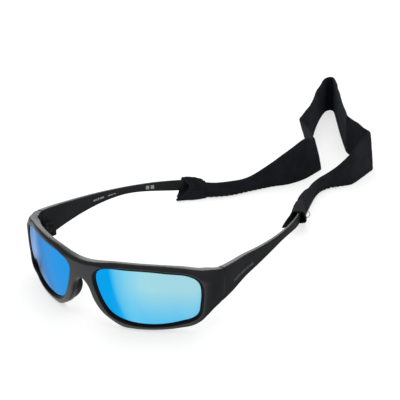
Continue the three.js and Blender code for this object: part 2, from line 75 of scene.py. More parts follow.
TEMPLE_ORIGIN, TEMPLE_START, TEMPLE_END = 38.0, 38.15, 157.4
TEMPLE_FLARE_LENGTH = 27.0
TEMPLE_TOP = [40.0, 39.2, 37.7, 36.1, 34.4, 32.5, 30.1]
TEMPLE_BOTTOM = [20.0, 22.4, 24.8, 26.6, 27.9, 29.0, 29.7, 29.9, 29.2, 27.7, 25.8, 23.9, 22.3]
TEMPLE_THICKNESS = [4.2, 3.6, 3.1, 2.8, 2.6, 2.5, 2.4]
TEMPLE_CURVE = (67.1, 6.3, -14.3, -4.1)


# ---------------------------------------------------------------- small tools

def mix(a, b, share):
    return a + (b - a) * share


def ease(value, start, end):
    share = min(max((value - start) / (end - start), 0.0), 1.0)
    return share * share * (3 - 2 * share)


def spline_at(rows, position, before=None, after=None):
    """Uniform Catmull-Rom through rows of numbers."""
    last = len(rows) - 1
    index = min(max(int(math.floor(position)), 0), last - 1)
    t = position - index

    def ghost(i):
        if i < 0:
            return before or [2 * a - b for a, b in zip(rows[0], rows[1])]
        if i > last:
            return after or [2 * a - b for a, b in zip(rows[last], rows[last - 1])]
        return rows[i]

    out = []
    for a, b, c, d in zip(ghost(index - 1), ghost(index), ghost(index + 1), ghost(index + 2)):
        out.append(b + 0.5 * t * (c - a + t * (2 * a - 5 * b + 4 * c - d + t * (3 * b - a - 3 * c + d))))
    return out


def rounded(value, power):
    """A sine or cosine raised to a power with its sign kept: below 1 it squares off a round section."""
    return math.copysign(abs(value) ** power, value)


def heading_of(before, after):
    """Direction of a line in plan, and the direction to its side."""
    heading = Vector((after[0] - before[0], after[1] - before[1])).normalized()
    return heading, Vector((heading.y, -heading.x))


def around(items, index):
    """The items before and after one, or itself at an end."""
    return items[max(index - 1, 0)], items[min(index + 1, len(items) - 1)]


def value_along(values, step, distance):
    return spline_at([(v,) for v in values], distance / step)[0]


def place(point, shift):
    """From the worn frame to the row, in metres."""
    x, y, z = point
    c, s = math.cos(RAKE), math.sin(RAKE)
    return Vector((x, y * c + z * s + shift, z * c - y * s + LIFT)) * MM


# ---------------------------------------------------------------- the row's place

PIN_Y, HINGE_Z = 38.1, 27.0
fold = frame["joints"][0]
SHIFT = fold["pos_m"][1] / MM - (PIN_Y * math.cos(RAKE) + HINGE_Z * math.sin(RAKE))


def worn(point):
    return place(point, SHIFT)


def laid(x, y, z):
    """A point of the strap, drawn where it lies on the table."""
    return Vector((x, y + SHIFT, z)) * MM


# ---------------------------------------------------------------- meshes

def piece_from(name, points, faces, material, body=None, values=None):
    mesh = bpy.data.meshes.new(name)
    mesh.from_pydata([tuple(p) for p in points], [], faces)
    mesh.validate()
    mesh.update()
    mesh.polygons.foreach_set("use_smooth", [True] * len(mesh.polygons))
    if values:
        layer = mesh.attributes.new("flat_place", "FLOAT_VECTOR", "POINT")
        layer.data.foreach_set("vector", [number for row in values for number in row])
    mesh.materials.append(material)
    piece = bpy.data.objects.new(name, mesh)
    bpy.context.scene.collection.objects.link(piece)
    if body:
        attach(piece, body)
    return piece


def ring_faces(rings, size, closed_rings=False, caps=True, skip=None):
    """Quads between rings of equal size. The rings may close on themselves."""
    faces = []
    spans = rings if closed_rings else rings - 1
    for ring in range(spans):
        after = (ring + 1) % rings
        for i in range(size):
            if skip and skip(ring, i):
                continue
            following = (i + 1) % size
            near, far = ring * size, after * size
            faces.append((near + i, near + following, far + following, far + i))
    if caps and not closed_rings:
        base = (rings - 1) * size
        faces.append(tuple(range(size - 1, -1, -1)))
        faces.append(tuple(range(base, base + size)))
    return faces


def weld(piece, distance=0.00001):
    """Joins doubled points and turns every face outwards."""
    work = bmesh.new()
    work.from_mesh(piece.data)
    bmesh.ops.remove_doubles(work, verts=work.verts, dist=distance)
    bmesh.ops.recalc_face_normals(work, faces=work.faces)
    work.to_mesh(piece.data)
    work.free()
    return piece


# ---------------------------------------------------------------- the wrapped front

def plan_at(u):
    bend = FACE_RADIUS * FACE_SWEEP
    if u < bend:
        angle = u / FACE_RADIUS
        return FACE_RADIUS * math.sin(angle), FACE_RADIUS * (1 - math.cos(angle)), angle
    angle = FACE_SWEEP + (u - bend) / END_RADIUS
    centre = FACE_RADIUS - END_RADIUS
    x = centre * math.sin(FACE_SWEEP) + END_RADIUS * math.sin(angle)
    y = FACE_RADIUS - centre * math.cos(FACE_SWEEP) - END_RADIUS * math.cos(angle)
    return x, y, angle


def bow(v):
    return v * v / (2 * UPRIGHT_RADIUS) - LENS_TILT * v


def on_front(u, v, depth, side=1):
    x, y, angle = plan_at(u)
    inward = depth + bow(v) - SWELL * ease(u, SWELL_START, SWELL_FULL)
    return side * (x - math.sin(angle) * inward), y + math.cos(angle) * inward, EYE_HEIGHT + v


def opening_at(station):
    return spline_at(OPENING + [OPENING[0]], station, OPENING[-1], OPENING[1])


def outline_at(station):
    if station <= BROW_START:
        return [0.0, mix(ARCH_TOP[1], BROW_MIDDLE[1], station / BROW_START)]
    if station <= SEAM_START:
        share = (station - BROW_START) / (SEAM_START - BROW_START)
        return spline_at(BROW, share * (len(BROW) - 1), (-BROW[1][0], BROW[1][1]))
    if station <= SEAM_FINISH:
        share = (station - SEAM_START) / (SEAM_FINISH - SEAM_START)
        return [SEAM_U, mix(BROW[-1][1], CHEEK[0][1], share)]
    share = (station - SEAM_FINISH) / (LAST_STATION - SEAM_FINISH)
    return spline_at(CHEEK, share * (len(CHEEK) - 1), None, (-CHEEK[-2][0], CHEEK[-2][1]))


def station_list(middle, brow, seam, cheek):
    runs = [(0.0, BROW_START, middle), (BROW_START, SEAM_START, brow),
            (SEAM_START, SEAM_FINISH, seam), (SEAM_FINISH, LAST_STATION, cheek)]
    return [mix(a, b, i / count) for a, b, count in runs for i in range(count)]


CHAMFER_WIDTH, CHAMFER_DEPTH = 1.7, 1.25
EDGE_RADIUS, SEAM_RADIUS = 1.15, 0.06
# The brow leans back: reach of the slope below its top edge and its depth there, at the bridge and outwards.
LEAN_REACH, LEAN_DEPTH = (2.0, 5.2), (0.65, 1.5)
BROW_EXTRA = (0.9, 2.4)
BACK_RADIUS, THICKNESS = 0.8, 4.2
GROOVE_FRONT, GROOVE_BACK, GROOVE_REACH = 1.5, 3.5, 1.1
# Steps across the front face in mm: in from the opening, then in from the outer edge.
FROM_OPENING = [0, 0.1, 0.4, 0.8, 1.2, 1.5, 1.65, 1.8, 2.1]
FROM_EDGE = [1.5, 1.15, 0.85, 0.6, 0.4, 0.24, 0.12, 0.04, 0]
FACE_SHARES = [0.25, 0.5, 0.75]


def fillet(distance, radius):
    if distance >= radius:
        return 0.0
    return radius - math.sqrt(max(radius ** 2 - (radius - distance) ** 2, 0.0))


def brow_lean(u, distance):
    """How far the face falls back at a distance below the brow's top edge."""
    outward = ease(u, 9, 23)
    reach, depth = mix(*LEAN_REACH, outward), mix(*LEAN_DEPTH, outward)
    return depth * (1 - ease(u, 74, 82)) * max(0.0, 1 - distance / reach) ** 1.3


def segment_distance(line, u, v):
    """Distance from a point to a run of points, read between them."""
    best = 1e9
    for (a, b), (c, d) in zip(line, line[1:]):
        du, dv = c - a, d - b
        length = du * du + dv * dv
        share = 0.0 if length == 0 else min(max(((u - a) * du + (v - b) * dv) / length, 0.0), 1.0)
        best = min(best, (u - a - share * du) ** 2 + (v - b - share * dv) ** 2)
    return math.sqrt(best)


def front_frame(material):
    stations = station_list(30, 150, 24, 220)
    free_edge = [outline_at(mix(BROW_START, SEAM_START, i / 60)) for i in range(61)]
    low_edge = [outline_at(mix(SEAM_FINISH, LAST_STATION, i / 120)) for i in range(121)]
    points, values, middle = [], [], []
    for station in stations:
        hole, edge = opening_at(station), outline_at(station)
        span = math.hypot(edge[0] - hole[0], edge[1] - hole[1])
        fit = min(1.0, span / (FROM_OPENING[-1] + FROM_EDGE[0] + 0.6))
        # The wall the nose pads sit on is painted dark and dull through the same shade mask as the lens
        # recess.
        pad_wall = ease(station, 7.95, 8.1) * (1 - ease(station, 8.76, 8.88))

        def across(reach):
            share = reach / span
            return mix(hole[0], edge[0], share), mix(hole[1], edge[1], share)

        inner = [reach * fit for reach in FROM_OPENING]
        outer = [span - reach * fit for reach in FROM_EDGE]
        face = inner + [mix(inner[-1], outer[0], share) for share in FACE_SHARES] + outer
        near = free_edge if station < SEAM_START + 0.4 else low_edge
        for reach in face:
            u, v = across(reach)
            to_edge = min(segment_distance(near, u, v), 9.0)
            if station < BROW_START:
                to_edge = min(segment_distance(free_edge[:12], u, v), segment_distance(low_edge[-14:], u, v))
            depth = fillet(to_edge, EDGE_RADIUS * fit) + fillet(SEAM_U - u, SEAM_RADIUS)
            depth += brow_lean(u, segment_distance(free_edge, u, v))
            at_edge = 1 - ease(span - reach, 0.1, 0.5)
            depth += CHAMFER_DEPTH * max(0.0, 1 - reach / (CHAMFER_WIDTH * fit))
            # The fourth value is painted shade: 1 on the lens recess wall by the opening, and the pad wall's
            # share near the outer edge.
            points.append((u, v, depth, 1.0 if reach < 1.3 * fit else at_edge * pad_wall))

        def back(u, v, depth, shade=0.0):
            thicker = max(0.0, 1 - segment_distance(free_edge, u, v) / 5) * (1 - ease(u, 74, 82))
            points.append((u, v, depth + mix(*BROW_EXTRA, ease(u, 45, 70)) * thicker, shade))

        # The back of the rim, from the outer edge to the opening and round the groove.
        for turn in (0.0, 0.2, 0.4, 0.6, 0.8, 1.0):
            angle = turn * math.pi / 2
            u, v = across(span - BACK_RADIUS * fit * (1 - math.cos(angle)))
            if station < BROW_START:
                u, v = edge
            back(u, v, THICKNESS - BACK_RADIUS + BACK_RADIUS * math.sin(angle), pad_wall)
        for share in (0.75, 0.5, 0.25):
            back(*across(mix(0.3, span - BACK_RADIUS * fit, share)), THICKNESS)
        back(*across(0.35), THICKNESS)
        # The groove round the lens keeps full painted shade.
        for reach, depth in ((0.1, THICKNESS - 0.25), (0.1, GROOVE_BACK), (GROOVE_REACH, GROOVE_BACK),
                             (GROOVE_REACH, GROOVE_FRONT), (0.0, GROOVE_FRONT)):
            points.append((*across(reach), depth, 1.0))
    size = len(points) // len(stations)
    wall = len(FROM_OPENING) + len(FACE_SHARES) + len(FROM_EDGE) - 1
    count = sum(1 for station in stations if station < BROW_START - 1e-6)

    def open_middle(ring, i):
        return ring < count and wall <= i < wall + 1

    faces = ring_faces(len(stations), size, closed_rings=True, skip=open_middle)
    both, all_faces = [], []
    for side in (1, -1):
        base = len(both)
        for u, v, depth, shade in points:
            place_at = worn(on_front(u, v, depth, side))
            both.append((place_at.x, place_at.y, max(place_at.z, 0.0)))
            values.append((side * u, v, shade))
        for face in faces:
            moved = tuple(base + i for i in face)
            all_faces.append(moved if side == 1 else moved[::-1])
    piece = piece_from("frame_front_shell", both, all_faces, material, None, values)
    weld(piece)
    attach(piece, "front")
    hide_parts("front_frame")
    return piece


# ---------------------------------------------------------------- lenses

LENS_FRONT, LENS_BACK, LENS_REACH = 1.7, 3.3, 0.85
LENS_CENTRE = (41.0, -0.5)
LENS_RINGS = [1.0, 0.985, 0.95, 0.88, 0.78, 0.66, 0.54, 0.42, 0.3, 0.18, 0.06]


def lens(side, name, node, material):
    stations = station_list(16, 90, 24, 130)
    rings, values = [], []
    for depth, shares in ((LENS_FRONT, LENS_RINGS[::-1]), (LENS_BACK, LENS_RINGS)):
        for share in shares:
            for station in stations:
                hole, edge = opening_at(station), outline_at(station)
                span = math.hypot(edge[0] - hole[0], edge[1] - hole[1])
                u = mix(hole[0], edge[0], LENS_REACH / span)
                v = mix(hole[1], edge[1], LENS_REACH / span)
                u, v = mix(LENS_CENTRE[0], u, share), mix(LENS_CENTRE[1], v, share)
                rings.append(worn(on_front(u, v, depth, side)))
                values.append((u, v, depth))
    piece = piece_from(name, rings, ring_faces(2 * len(LENS_RINGS), len(stations)), material, None, values)
    weld(piece)
    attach(piece, "front")
    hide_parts(node)
    return piece


# ---------------------------------------------------------------- temples

def temple_path(y):
    start, rise, fall, hook = TEMPLE_CURVE
    run = (y - TEMPLE_ORIGIN) / 100
    flare = SWELL * (1 - ease(y - TEMPLE_ORIGIN, 0, TEMPLE_FLARE_LENGTH))
    x = start + rise * run + fall * run ** 2 + hook * run ** 3 + flare
    slope = (rise + 2 * fall * run + 3 * hook * run ** 2) / 100
    turn = min((y - TEMPLE_START) / 15, 1) * slope
    size = math.hypot(turn, 1)
    return x, (-1 / size, turn / size)


def temple_levels(y):
    reach = y - TEMPLE_ORIGIN
    return value_along(TEMPLE_TOP, 20, reach), value_along(TEMPLE_BOTTOM, 10, reach)


def temple_point(y, across, level):
    """A point of the temple: across runs inwards from the outer face, level is the worn height."""
    x, normal = temple_path(y)
    lean = bow(level - EYE_HEIGHT) * max(0.0, 1 - (y - TEMPLE_ORIGIN) / 30)
    inset = across + lean
    return x + normal[0] * inset, y - normal[1] * inset, level


CORNER_STEPS = 7
FLAT_STEPS = 10


def temple_section(thickness, height):
    corner = min(1.15, thickness * 0.42, height * 0.3)
    section = []
    centres = [(thickness - corner, corner, -90), (thickness - corner, height - corner, 0),
               (corner, height - corner, 90), (corner, corner, 180)]
    for index, (across, up, start) in enumerate(centres):
        for step in range(CORNER_STEPS):
            angle = math.radians(start + 90 * step / (CORNER_STEPS - 1))
            section.append((across + corner * math.cos(angle), up + corner * math.sin(angle)))
        after = centres[(index + 1) % 4]
        begin = section[-1]
        turn = math.radians(after[2])
        finish = (after[0] + corner * math.cos(turn), after[1] + corner * math.sin(turn))
        for step in range(1, FLAT_STEPS):
            share = step / FLAT_STEPS
            section.append((mix(begin[0], finish[0], share), mix(begin[1], finish[1], share)))
    return section


def temple_ring(y, side, shrink=1.0):
    top, bottom = temple_levels(y)
    thickness = value_along(TEMPLE_THICKNESS, 20, y - TEMPLE_ORIGIN)
    height = (top - bottom) * shrink
    low_level = (top + bottom - height) / 2
    slim = thickness * shrink
    ring = []
    for across, up in temple_section(slim, height):
        x, back, level = temple_point(y, (thickness - slim) / 2 + across, low_level + up)
        ring.append((side * x, back, level))
    return ring


def temple(side, name, node, body, material):
    rings = [(TEMPLE_START, 0.996), (TEMPLE_START + 0.1, 1.0)]
    rings += [(mix(TEMPLE_START + 0.4, TEMPLE_END, i / 150), 1.0) for i in range(151)]
    rings += [(TEMPLE_END + 0.5, 0.93), (TEMPLE_END + 0.9, 0.78), (TEMPLE_END + 1.15, 0.58),
              (TEMPLE_END + 1.3, 0.3)]
    points, values = [], []
    for y, shrink in rings:
        ring = temple_ring(y, side, shrink)
        points += [worn(p) for p in ring]
        values += [(p[1], p[2], p[0]) for p in ring]
    size = len(points) // len(rings)
    piece = piece_from(name, points, ring_faces(len(rings), size), material, None, values)
    weld(piece)
    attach(piece, body)
    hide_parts(node)
    return piece


def temple_mark(name, side, body, face, start, bars, level_share, material):
    """Plain printed bars and dots on a temple. Each bar is (gap before, length, height) in mm."""
    points, faces = [], []
    y = start
    for gap, length, height in bars:
        y += gap
        steps = max(2, int(length / 0.5))
        base = len(points)
        for layer in (0.0, 0.035):
            for i in range(steps + 1):
                here = y + length * i / steps
                top, bottom = temple_levels(here)
                middle = mix(bottom, top, level_share)
                thickness = value_along(TEMPLE_THICKNESS, 20, here - TEMPLE_ORIGIN)
                across = -layer if face == "outer" else thickness + layer
                for up in (-height / 2, height / 2):
                    x, back, level = temple_point(here, across, middle + up)
                    points.append(worn((side * x, back, level)))
        row = 2 * (steps + 1)
        for i in range(steps):
            a, b, c, d = base + 2 * i, base + 2 * i + 1, base + 2 * i + 3, base + 2 * i + 2
            faces += [(a, b, c, d), (d + row, c + row, b + row, a + row)]
            faces += [(a, d, d + row, a + row), (b, b + row, c + row, c)]
        first, last = base, base + 2 * steps
        faces.append((first, first + row, first + row + 1, first + 1))
        faces.append((last, last + 1, last + row + 1, last + row))
        y += length
    piece = piece_from(name, points, faces, material)
    weld(piece, 1e-7)
    piece.data.polygons.foreach_set("use_smooth", [False] * len(piece.data.polygons))
    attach(piece, body)
    return piece


# ---------------------------------------------------------------- nose pads

PAD_FRONT, PAD_BACK = 1.1, THICKNESS + 6.2
PAD_OFFSET, PAD_HALF_WIDTH, PAD_LEAN = 1.1, 1.5, 2.2
PAD_FIRST, PAD_LAST = 8.04, 8.78
PAD_RINGS, PAD_SIDES = 30, 28


def nose_pad(side, name, node, material):
    rings = []
    for i in range(PAD_RINGS + 1):
        station = mix(PAD_FIRST, PAD_LAST, i / PAD_RINGS)
        run = 2 * i / PAD_RINGS - 1
        fullness = math.sqrt(max(1 - abs(run) ** 2.6, 0.0)) * 0.94 + 0.06
        u, v = outline_at(station)
        length = (PAD_BACK - PAD_FRONT) * (0.55 + 0.45 * fullness) * (0.35 + 0.65 * fullness)
        centre = PAD_FRONT + length / 2
        ring = []
        for step in range(PAD_SIDES):
            angle = 2 * math.pi * step / PAD_SIDES
            along = rounded(math.cos(angle), 0.7) * length / 2
            lean = PAD_LEAN * fullness * (along / length + 0.5)
            wide = rounded(math.sin(angle), 0.7) * PAD_HALF_WIDTH * (0.3 + 0.7 * fullness)
            ring.append(worn(on_front(u + PAD_OFFSET + lean + wide, v, centre + along, side)))
        rings += ring
    piece = piece_from(name, rings, ring_faces(PAD_RINGS + 1, PAD_SIDES), material)
    weld(piece)
    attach(piece, "front")
    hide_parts(node)
    return piece


# ---------------------------------------------------------------- strap

TABLE_GAP = 0.02
FULL_HEIGHT, FOLDED_HEIGHT = 29.5, 11.5
WEB_THICKNESS, FOLDED_THICKNESS = 1.3, 3.0
# Lower edge of the band from the right sleeve round to the left one: x, y, height, and how far
# the top edge leans in x and y.
BAND_LINE = [
    (-36.9, 163.2, 12.5, 0, 0), (-28.5, 169, 11.2, 0, 0), (-19.6, 177, 11, 0, 0), (-11.8, 189.3, 11.5, 0, 0),
    (-3, 203, 18, 0, 0), (6, 214, 26.5, 0, 0), (11, 227, 30.6, -1, -0.8), (13, 246, 26, -4.3, -3.2),
    (-8.5, 265.5, 29.5, -5, -3.7), (-21.5, 294, 29.5, -0.8, -0.6), (-31.5, 318, 29.5, 0, 0),
    (-38, 337, 29.5, 0, 0), (-41.2, 350.5, 29.5, 0, 0), (-38.8, 355.9, 29.5, 0, 0),
    (-33.4, 351.8, 29.5, 0, 0),
    (-20, 332.5, 29.5, 0, 0), (-3, 307.5, 29.5, 0, 0), (14.3, 283.4, 29.5, 0, 0),
    (45.2, 264.2, 30, -2.4, -1), (44.3, 238, 27, 0, 0), (41.5, 231.8, 21.5, 0, 0), (37.6, 227, 16.5, 0, 0),
    (33.4, 221.5, 12.6, 0, 0), (30.6, 213, 11, 0, 0), (31.2, 204, 11.2, 0, 0), (33.7, 194, 12.2, 0, 0),
    (36.2, 186, 14.0, -1.0, -0.4), (38.8, 178, 15.0, -1.6, -0.8), (40.9, 171, 15.6, -1.4, -0.8),
]
BAND_SHARP = {7: 1.8, 8: 2.6, 17: 3.0, 18: 2.0}
BAND_SPLIT = 17
BEND_STEPS = 6
BAND_SIDES, BAND_STEP = 26, 0.9
RIPPLE = 0.4
STITCH_PUCKER, PUCKER_PITCH = 0.28, 3.6
SEED_A, SEED_B = Vector((3.1, 7.7, 1.3)), Vector((9.2, 2.4, 5.8))


def band_line():
    """The band's rows with each sharp bend turned into a short arc, and the place of every bend."""
    rows, bends = [], {}
    for index, row in enumerate(BAND_LINE):
        if index not in BAND_SHARP:
            bends[index] = len(rows)
            rows.append(row)
            continue
        reach = BAND_SHARP[index]
        here = Vector(row[:2])
        back = (Vector(BAND_LINE[index - 1][:2]) - here).normalized() * reach
        ahead = (Vector(BAND_LINE[index + 1][:2]) - here).normalized() * reach
        for step in range(BEND_STEPS + 1):
            t = step / BEND_STEPS
            if step == BEND_STEPS // 2:
                bends[index] = len(rows)
            point = here + back * (1 - t) ** 2 + ahead * t ** 2
            rows.append((point.x, point.y, *row[2:]))
    return rows, bends


def even_line(rows, first, last, step):
    """Rows at even spacing along part of the line, each with its length so far."""
    dense, count = [], 12
    for index in range(first, last):
        for i in range(count):
            dense.append(spline_at(rows, index + i / count))
    dense.append(list(rows[last]))
    lengths = [0.0]
    for a, b in zip(dense, dense[1:]):
        lengths.append(lengths[-1] + math.hypot(b[0] - a[0], b[1] - a[1]))
    total, out, at = lengths[-1], [], 0
    pieces = max(2, int(total / step))
    for i in range(pieces + 1):
        want = total * i / pieces
        while at < len(dense) - 2 and lengths[at + 1] < want:
            at += 1
        share = (want - lengths[at]) / max(lengths[at + 1] - lengths[at], 1e-9)
        out.append([mix(a, b, share) for a, b in zip(dense[at], dense[at + 1])] + [want])
    return out


def web_section(height, thickness, open_share):
    """Closed section of the webbing: up one face, over the top edge and down the other face."""
    half = thickness / 2
    section = [(-1, step / BAND_SIDES) for step in range(BAND_SIDES + 1)]
    section += [(1, 1 - step / BAND_SIDES) for step in range(BAND_SIDES + 1)]
    out = []
    for face, share in section:
        distance = min(share, 1 - share) * height
        # A folded end has round edges, and the single web has thinner ones.
        roll = min(1.0, math.sqrt(max(distance, 0.0) / mix(1.6, 0.5, open_share) + 0.02))
        out.append((face * half * roll, share * height, share))
    return out


def band_ring(row, before, after, whole):
    x, y, height, lean_x, lean_y, length = row
    side = heading_of(before, after)[1]
    open_share = ease(height, FOLDED_HEIGHT, FULL_HEIGHT)
    thickness = mix(FOLDED_THICKNESS, WEB_THICKNESS, open_share)
    ring, values = [], []
    wave = noise.noise(Vector((length / 9.0, 0, 0)) + SEED_A)
    for across, up, share in web_section(height, thickness, open_share):
        free = ease(share, 0.0, 0.25) * mix(0.35, 1.0, open_share)
        ripple = RIPPLE * free * noise.noise(Vector((length / 16, up / 11, 0)) + SEED_A)
        ripple += 0.28 * RIPPLE * noise.noise(Vector((length / 4.5, up / 6, 0)) + SEED_B)
        # The sewn run is puckered by its stitches along the lower edge.
        pucker = (1 - open_share) * (1 - ease(share, 0.0, 0.45))
        ripple += STITCH_PUCKER * pucker * math.sin(length * 2 * math.pi / PUCKER_PITCH)
        lean = share ** 1.3
        lift = 1 + math.sin(length * 2 * math.pi / PUCKER_PITCH + 1)
        rise = up * (1 + 0.012 * wave) + 0.25 * (1 - open_share) * pucker * lift + TABLE_GAP
        offset = across + ripple
        ring.append(laid(x + side.x * offset + lean_x * lean, y + side.y * offset + lean_y * lean, rise))
        values.append((whole + length, up, across))
    return ring, values


def band_piece(name, first, last, start_length, material):
    rows, bends = band_line()
    line = even_line(rows, bends[first], bends[last], BAND_STEP)
    points, values = [], []
    for index, row in enumerate(line):
        ring, places = band_ring(row, *around(line, index), start_length)
        points += ring
        values += places
    size = len(points) // len(line)
    piece = piece_from(name, points, ring_faces(len(line), size), material, None, values)
    weld(piece, 1e-7)
    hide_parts("strap_band")
    return piece, line


# Sleeve rows from the mouth back to the band: x, y, lower level, upper level, thickness, and how far the
# lower hem hangs inwards. The wearer's left sleeve is held off the table by its temple.
SLEEVE_LEFT = [(48.1, 155.2, 5.2, 15.6, 7.9, -0.6), (46.5, 158.4, 4.4, 15.8, 8.0, -0.8),
               (44.8, 161.8, 3.2, 16.0, 7.6, -0.9), (43.2, 165.4, 1.8, 16.0, 6.4, -1.0),
               (42.0, 168.6, 0.6, 15.6, 4.8, -0.8), (40.9, 171.6, 0.0, 15.2, 3.8, -0.6)]
SLEEVE_RIGHT = [(47.5, 156.2, 0.0, 14.2, 5.8, 3.2), (45.2, 158.0, 0.0, 14.2, 5.6, 3.2),
                (42.4, 160.0, 0.0, 13.8, 5.4, 3.0), (39.4, 161.8, 0.0, 13.4, 5.0, 2.8),
                (36.2, 163.6, 0.0, 12.9, 4.4, 1.8), (32.6, 165.9, 0.0, 12.4, 3.8, 0.6)]
SLEEVE_WALL = 1.0
SLEEVE_SIDES, SLEEVE_RINGS, SLEEVE_DEPTH = 72, 44, 26
TONGUE_FLARE, TONGUE_FULL = 6.6, 13


def sleeve_ring(row, before, after, side, wall, seed, mouth, tongue, slant, notch):
    """One ring of a sleeve. mouth is 1 at the mouth; there the inner wall runs forward as a loose tongue, and
    slant brings the lower hem forward and takes the upper one back. notch opens the inner wall behind it."""
    x, y, low_level, high_level, thickness, hang = row
    heading, across = heading_of(before, after)
    half_height = (high_level - low_level) / 2
    hem = 0.55 * ease(mouth, 0.55, 1.0)
    ring = []
    for step in range(SLEEVE_SIDES):
        angle = 2 * math.pi * step / SLEEVE_SIDES
        cosine, sine = math.cos(angle), math.sin(angle)
        crumple = noise.noise(Vector((x / 3.2 + cosine, y / 3.2, sine * 2)) + seed)
        lump = noise.noise(Vector((cosine * 2.2, sine * 2.2, x / 6)) + seed * 1.7)
        wide = rounded(cosine, 0.62) * (thickness / 2 - wall + hem)
        wide += 0.75 * crumple * (0.3 + 0.7 * abs(cosine)) * (1 if wall == 0 else 0.7)
        level = low_level + half_height + rounded(sine, 0.75) * (half_height - wall)
        loose = mouth * ease(-cosine, 0.1, 0.8) * math.exp(-((sine + 0.35) / 0.5) ** 2)
        lower, upper = ease(-sine, -0.7, 0.9), ease(sine, -0.7, 0.9)
        forward = tongue * loose + mouth * (0.9 * lump - slant * sine)
        forward -= notch * ease(-cosine, 0.0, 0.7) * math.exp(-((sine - 0.15) / 0.5) ** 2)
        swing = hang * (upper - lower) - TONGUE_FLARE * tongue / TONGUE_FULL * loose
        px = x + across.x * (wide + swing) - heading.x * forward
        py = y + across.y * (wide + swing) - heading.y * forward
        ring.append(laid(side * px, py, max(level, TABLE_GAP + wall * 0.5)))
    return ring


def sleeve(rows, side, name, node, body, seed, tongue, slant, notch, material):
    """A sleeve: its outer wall runs forward to the mouth, turns there and runs back in as the lining."""
    line = [spline_at(rows, (len(rows) - 1) * i / SLEEVE_RINGS) for i in range(SLEEVE_RINGS + 1)]
    order = [(i, 0.0) for i in range(SLEEVE_RINGS, -1, -1)] + [(0, SLEEVE_WALL * 0.5)]
    order += [(i, SLEEVE_WALL) for i in range(SLEEVE_DEPTH)]
    points, values = [], []
    for index, wall in order:
        before, after = around(line, index)
        mouth = 1 - ease(index, 0, 14)
        ring = sleeve_ring(line[index], before, after, side, wall, seed, mouth, tongue, slant,
                           notch * (1 - ease(index, 0, 34)))
        if 0 < wall < SLEEVE_WALL:
            out = Vector(((before[0] - after[0]) * side, before[1] - after[1], 0)).normalized() * 0.45 * MM
            ring = [point + out for point in ring]
        points += ring
        values += [(index * 0.4, 40 * step / SLEEVE_SIDES, wall) for step in range(SLEEVE_SIDES)]
    piece = piece_from(name, points, ring_faces(len(order), SLEEVE_SIDES), material, None, values)
    weld(piece, 1e-7)
    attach(piece, body)
    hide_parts(node)
    return piece


# The turned cuff along the top of the wearer's right sleeve: x, y, level of its lower hem, level of its fold.
CUFF_LINE = [(47.6, 160.2, 9.0, 14.5), (44.4, 162.2, 9.2, 14.7), (41.0, 164.2, 9.2, 14.3),
             (37.4, 166.0, 9.0, 13.6), (34.6, 167.0, 8.6, 12.2)]
CUFF_HALF_THICKNESS = 1.5
CUFF_RINGS, CUFF_SIDES = 36, 40


def cuff(side, name, body, seed, material):
    line = [spline_at(CUFF_LINE, (len(CUFF_LINE) - 1) * i / CUFF_RINGS) for i in range(CUFF_RINGS + 1)]
    points, values = [], []
    for index, (x, y, low_level, high_level) in enumerate(line):
        across = heading_of(*around(line, index))[1]
        middle, half = (low_level + high_level) / 2, (high_level - low_level) / 2
        full = mix(0.45, 1.0, ease(min(index, CUFF_RINGS - index) / 3, 0, 1))
        for step in range(CUFF_SIDES):
            angle = 2 * math.pi * step / CUFF_SIDES
            cosine, sine = math.cos(angle), math.sin(angle)
            crumple = noise.noise(Vector((x / 3, y / 3 + cosine, sine * 1.5)) + seed)
            wide = rounded(cosine, 0.7) * CUFF_HALF_THICKNESS * full + 0.35 * crumple
            level = middle + rounded(sine, 0.8) * half * full + 0.25 * crumple
            points.append(laid(side * (x + across.x * wide), y + across.y * wide, level))
            values.append((index * 0.5, 12 * step / CUFF_SIDES, 0))
    piece = piece_from(name, points, ring_faces(CUFF_RINGS + 1, CUFF_SIDES), material, None, values)
    weld(piece, 1e-7)
    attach(piece, body)
    return piece


def cord(points, radius, sides=8, spread=6):
    """Points and faces of a round thread through points given where they lie, in mm."""
    count = (len(points) - 1) * spread
    centres = [Vector(spline_at(points, i / spread)) for i in range(count + 1)]
    rings = []
    for index, centre in enumerate(centres):
        before, after = around(centres, index)
        ahead = (after - before).normalized()
        first = ahead.cross(Vector((0.31, 0.17, 0.94))).normalized()
        second = ahead.cross(first)
        taper = 0.6 if index in (0, count) else 1.0
        for step in range(sides):
            angle = 2 * math.pi * step / sides
            spot = centre + (first * math.cos(angle) + second * math.sin(angle)) * radius * taper
            rings.append(laid(*spot))
    return rings, ring_faces(count + 1, sides)


def merge(parts):
    points, faces = [], []
    for some_points, some_faces in parts:
        base = len(points)
        points += some_points
        faces += [tuple(base + i for i in face) for face in some_faces]
    return points, faces


STITCH_PITCH, STITCH_RADIUS = 1.8, 0.17
STITCH_LOW, STITCH_HIGH, STITCH_SLANT = 0.45, 2.6, 0.7


def stitch_run(name, node, line, first, last, material):
    """Slanted stitches over the lower edge of a sewn run, on both faces."""
    parts = []
    length = first
    while length < last:
        index = min(range(len(line)), key=lambda i: abs(line[i][5] - length))
        x, y = line[index][:2]
        heading, side = heading_of(*around(line, index))
        for face in (-1, 1):
            path = []
            for share in (0.0, 0.35, 0.7, 1.0):
                height = mix(STITCH_LOW, STITCH_HIGH, share)
                bulge = 0.42 * math.sin(share * math.pi) + 0.25
                off = face * (FOLDED_THICKNESS / 2 * min(1.0, 0.35 + share) + bulge)
                run = STITCH_SLANT * share
                path.append((x + side.x * off + heading.x * run, y + side.y * off + heading.y * run, height))
            parts.append(cord(path, STITCH_RADIUS, sides=6, spread=3))
        length += STITCH_PITCH
    points, faces = merge(parts)
    piece = piece_from(name, points, faces, material)
    weld(piece, 1e-8)
    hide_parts(node)
    return piece


def loose_thread(name, points, radius, material):
    piece = piece_from(name, *cord(points, radius), material)
    weld(piece, 1e-7)
    return piece


# ---------------------------------------------------------------- materials

